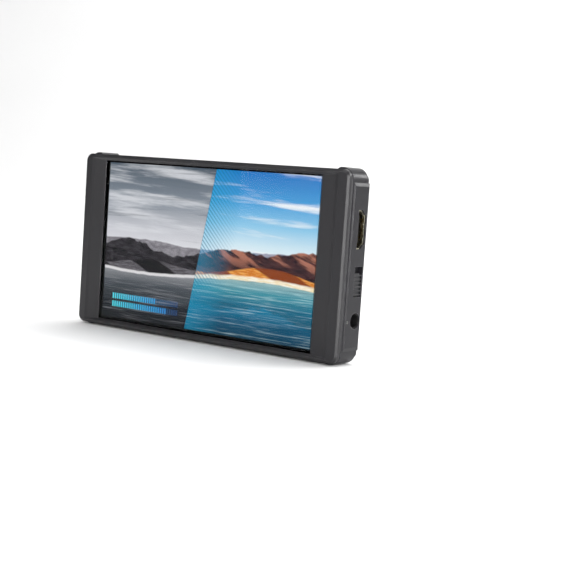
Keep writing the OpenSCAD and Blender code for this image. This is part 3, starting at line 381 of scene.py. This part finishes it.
    # the same scene in flat greys
    grey_sky = t.ramp(v, hexes((0.47, "#e4e3e8"), (0.60, "#c6c7ce"), (0.78, "#848d98"),
                               (1.0, "#4e5a66")))
    grey_sky = t.mix(t.step(streaks, 0.46, 0.66, 0.0, 0.80), grey_sky, linear("#e0e1e6"))
    grey_sky = t.mix(t.step(wisps, 0.46, 0.28, 0.0, 0.50), grey_sky, linear("#47515c"))
    grey_water = t.ramp(v, hexes((0.0, "#0b0e13"), (0.12, "#1d232a"), (0.24, "#596068"),
                                 (0.34, "#c4c6cb")))
    grey_water = t.mix(t.math("MULTIPLY", mirrored, 0.45), grey_water, linear("#23262b"))
    grey_water = t.mix(t.step(ripple, 0.52, 0.72, 0.0, 0.30), grey_water, linear("#c9c9cf"))
    grey = t.mix(below(haze), grey_sky, two(t.step(stone, 0.35, 0.65), "#77747b", "#98959b"))
    grey = t.mix(below(coast), grey, two(t.step(stone, 0.35, 0.65), "#121014", "#38353b"))
    grey_bank = two(t.step(sand_lines, 0.4, 0.62), "#4c494e", "#6d6a70")
    grey_bank = t.mix(lee, grey_bank, linear("#161518"))
    grey = t.mix(below(dune), grey, grey_bank)
    grey = t.mix(below(t.math("ADD", shore, 0.018), 0.005), grey, linear("#dedcde"))
    grey = t.mix(below(shore, 0.004), grey, grey_water)

    # slanted stripes that fade away from the split
    across = t.math("ADD", u, t.math("MULTIPLY", v, h / w))
    stripe = t.math("FRACT", t.math("MULTIPLY", across, 58.0))
    away = t.math("SUBTRACT", u, split)
    fade = t.step(away, 0.0, 0.16, 0.60, 0.0, smooth=False)
    col = t.mix(t.math("MULTIPLY", fade, 0.50), col, linear("#16b6e4"))
    col = t.mix(t.math("MULTIPLY", t.step(stripe, 0.52, 0.66), fade), col, linear("#0d6f96"))
    scene = t.mix(t.math("GREATER_THAN", away, 0.0), grey, col)
    seam = t.step(t.math("ABSOLUTE", away), 0.0008, 0.0018, 0.30, 0.0)
    scene = t.mix(seam, scene, linear("#0f1a22"))

    # two rows of level segments along the lower edge, cyan to blue
    segments, rows, left, long, low, pitch = 30.0, 2.0, 0.05, 0.34, 0.070, 0.052
    bu = t.math("MULTIPLY", t.math("SUBTRACT", u, left), segments / long)
    bv = t.math("DIVIDE", t.math("SUBTRACT", v, low), pitch)
    row = t.math("FLOOR", bv)
    lit = t.math("LESS_THAN", t.math("FLOOR", bu), t.math("MULTIPLY_ADD", row, -5.0, 25.0))
    inside = t.math("MULTIPLY", t.math("GREATER_THAN", bu, 0.0), t.math("LESS_THAN", bu, segments))
    for limit in (t.math("GREATER_THAN", bv, 0.0), t.math("LESS_THAN", bv, rows),
                  t.step(t.math("FRACT", bu), 0.62, 0.68, 1.0, 0.0),
                  t.step(t.math("FRACT", bv), 0.66, 0.72, 1.0, 0.0)):
        inside = t.math("MULTIPLY", inside, limit)
    ink = t.ramp(t.math("DIVIDE", t.math("SUBTRACT", u, left), long),
                 hexes((0.0, "#54e1ee"), (0.5, "#3fb2ea"), (1.0, "#2a6fd0")))
    scene = t.mix(t.math("MULTIPLY", inside, t.math("MULTIPLY_ADD", lit, 0.70, 0.22)), scene, ink)

    # black rim outside the picture, and the faint pixel structure
    outside = []
    for along, start, size in ((x, x0, w), (z, z0, h)):
        from_middle = t.math("ABSOLUTE", t.math("SUBTRACT", along, start + size / 2))
        outside.append(t.math("SUBTRACT", from_middle, size / 2))
    shown = t.math("LESS_THAN", t.math("MAXIMUM", *outside), 0.0)
    front = t.math("LESS_THAN", t.xyz(t.add("NewGeometry").outputs["Normal"])[1], -0.5)
    shown = t.math("MULTIPLY", shown, front)
    scene = t.mix(shown, (0, 0, 0, 1), scene)
    pixels_per_metre = 9000.0
    in_pixel = [t.math("FRACT", t.math("MULTIPLY", along, pixels_per_metre)) for along in (x, z)]
    lcd = t.math("MULTIPLY", *[t.step(part, 0.0, 0.2, 0.94, 1.0) for part in in_pixel])
    scene = t.mix(1.0, scene, t.join(lcd, lcd, lcd), "MULTIPLY")
    t.surface(Base_Color=linear("#0c0d0f"), Roughness=0.32, Specular_IOR_Level=0.06,
              Emission_Color=scene, Emission_Strength=0.97,
              Normal=t.bump(t.noise(t.place(), 2500, 1.0, 0.5), 0.05, FINE_RELIEF))
    return t.material


# The label's printed border, as film() takes it
LABEL_BORDER = tuple(v * MM for v in (8.14, 38.3, 20.15, 13.02, 1.1, 0.42))

# Each slot's function and what it takes after the slot's name
FINISHES = {
    # colour, roughness, grain, edge radius, edge wear and painted edge highlight, its lighter
    # colour, specular level
    # the frame and housing edges are made much lighter: mostly a painted highlight along their
    # bevels, with some wear
    "frame_plastic": (moulded, "#1d1c1f", 0.38, 1.0, 0.30 * MM, 0.75, "#9a9a9e", 0.40),
    "housing_plastic": (moulded, "#1b1a1e", 0.38, 1.3, 0.28 * MM, 0.80, "#a2a2a6", 0.27),
    "slider_plastic": (moulded, "#242427", 0.42, 1.2, 0.18 * MM, 0.35),
    "knob_plastic": (moulded, "#1d1d20", 0.40, 0.8, 0.12 * MM, 0.45),
    "black_moulding": (moulded, "#0d0d0e", 0.45, 0.8, 0.10 * MM, 0.25, "#3c3c3e"),
    "socket_black": (moulded, "#0b0b0b", 0.50, 0.6, 0.08 * MM, 0.20, "#38383a"),
    "socket_white": (moulded, "#cfccbf", 0.45, 0.6, 0.08 * MM, 0.10, "#f2f0e8"),
    "chip_black": (moulded, "#101011", 0.55, 0.7, 0.10 * MM, 0.15),
    # colour, roughness, border
    "black_film": (film, "#060606", 0.55),
    "bay_label_film": (film, "#080809", 0.34, LABEL_BORDER),
    "side_label_film": (film, "#070608", 0.30),
    "cable_film": (film, "#9a5a17", 0.35),
    # colour, roughness, stretch, strength of the marks, edge radius, stain
    "backlight_metal": (metal, "#cfd0d3", 0.35, (0.2, 1, 1)),
    "sheet_steel": (metal, "#b4b6b9", 0.34, (0.05, 1, 1)),
    "screw_steel": (metal, "#9c9ca0", 0.32),
    "spring_wire": (metal, "#c2c2c4", 0.26, (1, 1, 1), 0.06),
    "hook_steel": (metal, "#d9d9db", 0.24, (0.1, 1, 1)),
    "tinned_can": (metal, "#bdbdb9", 0.30, (0.1, 1, 1)),
    "heat_sink_aluminium": (metal, "#cfd1d3", 0.34, (1, 1, 0.03)),
    "champagne_metal": (metal, "#bfbaa3", 0.26, (1, 1, 0.1), 0.08, 0.10 * MM, "#57523c"),
    "gold_plate": (metal, "#c9ab66", 0.26, (0.1, 1, 1), 0.06, 0.08 * MM, "#7a5a22"),
    "gold_ring": (metal, "#d9bb7c", 0.24, (1, 1, 1), 0.05, 0.12 * MM, "#7d5318"),
    "nickel_pin": (metal, "#8d8d8b", 0.28, (0.05, 1, 1), 0.05),
    "insert_brass": (metal, "#caa35a", 0.28, (1, 1, 0.2), 0.12, 0.15 * MM, "#6d4d1c"),
    "cover_glass": (clear_glass,),
    "display": (picture,),
    "brushed_trim": (brushed_strip,),
    "circuit_board": (circuit_board,),
    "light_pipe": (light_pipe,),
}
M = {slot: make(slot, *values) for slot, (make, *values) in FINISHES.items()}

SLOTS = {s["node"]: s["material_slot"] for s in frame["record"]["subparts"]}
for name, obj in NODES.items():
    obj.data.materials.clear()
    obj.data.materials.append(M[SLOTS[name]])

# ---------------------------------------------------------------- small pieces over the solids

def skin(bm, rows, closed):
    """Faces between each row of vertices and the next. Closed rows make a tube with capped ends."""
    count = len(rows[0])
    for a, b in zip(rows, rows[1:]):
        for i in range(count if closed else count - 1):
            j = (i + 1) % count
            bm.faces.new((a[i], a[j], b[j], b[i]))
    if closed:
        bm.faces.new(rows[0])
        bm.faces.new(rows[-1])


def mesh_object(name, bm, material, smooth=True):
    """A new object in the scene from bm, which is used up."""
    mesh = bpy.data.meshes.new(name)
    bm.to_mesh(mesh)
    bm.free()
    for face in mesh.polygons:
        face.use_smooth = smooth
    mesh.materials.append(material)
    o = bpy.data.objects.new(name, mesh)
    bpy.context.scene.collection.objects.link(o)
    return o


def piece(name, bm, body, slot, smooth=True):
    """A new piece that rides on a body and takes a slot's finish."""
    bmesh.ops.recalc_face_normals(bm, faces=bm.faces)
    o = mesh_object(name, bm, M[slot], smooth)
    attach(o, body)
    return o


def contacts(name, tip, root, face, out, middles, width):
    """Sprung contact strips on a tongue's face: each lies on the plane y = face, crowned towards
    out (-1 or 1), and dips into the tongue at its tip. Measures are in millimetres."""
    sunk = 0.02
    away = 1 if tip > root else -1
    profile = [(root, 0.0), (root, 0.10), (tip - away * 1.6, 0.12), (tip - away * 1.0, 0.19),
               (tip - away * 0.5, 0.14), (tip - away * 0.2, 0.0)]
    bm = bmesh.new()
    for middle in middles:
        rows = [[bm.verts.new((x * MM, (face + out * (h - sunk)) * MM, z * MM)) for x, h in profile]
                for z in (middle - width / 2, middle + width / 2)]
        skin(bm, rows, closed=True)
    piece(name, bm, "housing", "gold_plate", smooth=False)


def thread(name, x, y, low, high, radius, depth, pitch):
    """The ridge of an inside thread, which runs out at both ends. Measures are in millimetres."""
    per_turn = 36
    run_out = 0.4 * per_turn
    foot, crest = 0.44 * pitch, 0.07 * pitch
    steps = int((high - low - pitch) / pitch * per_turn)
    bm, rows = bmesh.new(), []
    for i in range(steps + 1):
        a = 2 * math.pi * i / per_turn
        full = min(1.0, i / run_out, (steps - i) / run_out)
        z = low + pitch / 2 + pitch * i / per_turn
        top = radius - depth * max(full, 0.05)
        section = ((radius, -foot), (top, -crest), (top, crest), (radius, foot))
        across, up = math.cos(a), math.sin(a)
        rows.append([bm.verts.new(((x + r * across) * MM, (y + r * up) * MM, (z + dz) * MM))
                     for r, dz in section])
    skin(bm, rows, closed=True)
    piece(name, bm, "housing", "insert_brass")


def mark(name, x, y, z, across, up, out, body):
    """A small raised paint mark with round ends, on a face of the given x that looks towards
    out (-1 or 1). Measures are in millimetres."""
    sides, r = 24, up / 2
    growth_and_height = ((0.0, -0.02), (0.0, 0.03), (-0.35 * r, 0.055))
    bm, rings = bmesh.new(), []
    for grow, lift in growth_and_height:
        ring = []
        for k in range(sides):
            a = 2 * math.pi * k / sides
            shift = (across / 2 - r) * (1 if math.cos(a) > 1e-6 else -1)
            across_face, up_face = shift + (r + grow) * math.cos(a), (r + grow) * math.sin(a)
            at = (x + out * lift, y + across_face, z + up_face)
            ring.append(bm.verts.new([v * MM for v in at]))
        rings.append(ring)
    skin(bm, rings, closed=True)
    piece(name, bm, body, "socket_white", smooth=False)


def compression_spring(name, node, slot, body="housing", wire=0.18 * MM, turns=7.0):
    """A round wire coil with closed end turns, in place of the node's plain coil. It lies along x."""
    low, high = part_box(node)
    middle_y, middle_z = (low.y + high.y) / 2, (low.z + high.z) / 2
    radius = (high.z - low.z) / 2 - wire
    start, end = low.x + wire, high.x - wire
    per_turn, sides = 28, 10
    closed_pitch = 2.1 * wire
    open_pitch = (end - start - 2 * closed_pitch) / (turns - 2)
    bm, rings = bmesh.new(), []
    for i in range(int(turns * per_turn) + 1):
        turn = i / per_turn
        if turn < 1:
            x = start + closed_pitch * turn
        elif turn > turns - 1:
            x = end - closed_pitch * (turns - turn)
        else:
            x = start + closed_pitch + open_pitch * (turn - 1)
        a = 2 * math.pi * turn
        ring = []
        for k in range(sides):
            b = 2 * math.pi * k / sides
            d = radius + wire * math.cos(b)
            ring.append(bm.verts.new((x + wire * math.sin(b), middle_y + d * math.cos(a),
                                      middle_z + d * math.sin(a))))
        rings.append(ring)
    skin(bm, rings, closed=True)
    o = piece(name, bm, body, slot)
    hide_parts(node)
    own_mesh(o)


# Both faces of a wide video socket's tongue carry a row. side is the face's direction along y.
ROWS = (("long_row", 1, [-4.5 + i for i in range(10)]),
        ("short_row", -1, [-4.0 + i for i in range(9)]))
TONGUE_HALF = 0.65
for label, tip, root, y, z, long_side in (("video_in", 69.2, 66.0, 3.25, 52.9, -1),
                                          ("video_out", -69.8, -66.4, 1.85, 16.0, 1)):
    for row, turn, places in ROWS:
        side = turn * long_side
        contacts(f"{label}_contacts_{row}", tip, root, y + side * TONGUE_HALF, side,
                 [z + v for v in places], 0.45)

# The data socket's tongue carries four wide contacts, on its front face only
contacts("data_port_contacts", -70.1, -66.6, 1.85 + 0.35, -1,
         [45.7 + v for v in (-3.5, -1.0, 1.0, 3.5)], 1.0)

thread("tripod_thread_ridge", 0.0, 2.05, 0.8, 6.8, 3.205, 0.42, 1.27)
compression_spring("release_spring", "latch_spring",
                   "spring_wire")
mark("lock_mark", -70.85, 0.45, 57.05, 0.8, 0.34, -1, "lock_switch")

# ---------------------------------------------------------------- stage, light and camera

def sweep(name, turn):
    """One sheet: a flat floor that curves up into a wall behind the object. turn is in degrees."""
    bend, radius, arcs = 1.2, 0.9, 12
    under_object = 0.02 * MM
    profile = [(y, 0.0) for y in (-2.2, -1.2, -0.4, 0.5, bend)]
    for k in range(1, arcs + 1):
        a = math.radians(90 * k / arcs)
        profile.append((bend + radius * math.sin(a), radius - radius * math.cos(a)))
    profile += [(bend + radius, z) for z in (1.6, 2.6)]
    bm = bmesh.new()
    rows = [[bm.verts.new((x, y, z - under_object)) for y, z in profile]
            for x in (-3.2, -1.6, 0, 1.6, 3.2)]
    skin(bm, rows, closed=False)
    t = Tree(name)
    cloud = t.noise(t.place(), 3.0, 2.0, 0.5)
    t.surface(Base_Color=t.mix(t.step(cloud, 0.2, 0.8), linear("#efefef"), linear("#f3f3f3")),
              Roughness=0.8, Specular_IOR_Level=0.1)
    o = mesh_object(name, bm, t.material)
    o.rotation_euler = (0, 0, math.radians(turn))


def soft_box(name, at, aim, size, power):
    """A white area light, with its size in metres and its power in watts."""
    light = bpy.data.lights.new(name, "AREA")
    light.shape = "RECTANGLE"
    light.size, light.size_y = size
    light.energy = power
    o = bpy.data.objects.new(name, light)
    bpy.context.scene.collection.objects.link(o)
    o.location = at
    o.rotation_euler = (Vector(aim) - Vector(at)).to_track_quat("-Z", "Y").to_euler()


sweep("floor_sweep", 37)

OBJECT = (0, 0, 0.04)
for light in (
        ("top_box", (0.1, 0.55, 1.5), (0, 0.2, 0), (1.6, 1.2), 24),
        ("left_box", (-0.72, -1.16, 0.25), OBJECT, (0.3, 0.5), 1.3),
        ("right_strip", (0.95, -0.77, 0.20), OBJECT, (0.12, 0.6), 17),
        ("ledge_box", (0.58, 0.90, 0.56), OBJECT, (0.3, 0.2), 4.2),
        ("rear_box", (0.30, 1.00, 0.30), (0, 0.35, 0), (0.6, 0.3), 1),
        ("floor_light", (-0.2, -0.7, 1.6), (-0.2, -0.9, 0), (1.4, 0.8), 8),
        ("back_light", (0.3, 0.9, 1.5), (0.2, 2.0, 0.5), (2.2, 1.2), 24)):
    soft_box(*light)

# The world lights the object a little, and is pale where the camera sees it
FILL_STRENGTH, BACKDROP_STRENGTH = 0.14, 0.92
world = bpy.data.worlds.new("studio")
world.use_nodes = True
world_nodes, world_links = world.node_tree.nodes, world.node_tree.links
fill = world_nodes["Background"]
backdrop = world_nodes.new("ShaderNodeBackground")
for node, strength in ((fill, FILL_STRENGTH), (backdrop, BACKDROP_STRENGTH)):
    node.inputs["Color"].default_value = (1, 1, 1, 1)
    node.inputs["Strength"].default_value = strength
rays = world_nodes.new("ShaderNodeLightPath")
either = world_nodes.new("ShaderNodeMixShader")
world_links.new(rays.outputs["Is Camera Ray"], either.inputs[0])
world_links.new(fill.outputs[0], either.inputs[1])
world_links.new(backdrop.outputs[0], either.inputs[2])
world_links.new(either.outputs[0], world_nodes["World Output"].inputs[0])
bpy.context.scene.world = world

# The photograph's camera: place in metres and turn in degrees
CAMERA_PLACE = (0.33019, -0.39700, 0.07101)
CAMERA_TURN = (84.8868, -3.9331, 36.5044)
camera = bpy.data.cameras.new("camera")
camera.lens = 77.017
camera.sensor_width = 36
camera.clip_start, camera.clip_end = 0.01, 20
camera_object = bpy.data.objects.new("camera", camera)
bpy.context.scene.collection.objects.link(camera_object)
camera_object.location = CAMERA_PLACE
camera_object.rotation_euler = tuple(math.radians(a) for a in CAMERA_TURN)
bpy.context.scene.camera = camera_object
bpy.context.scene.view_settings.view_transform = "Standard"
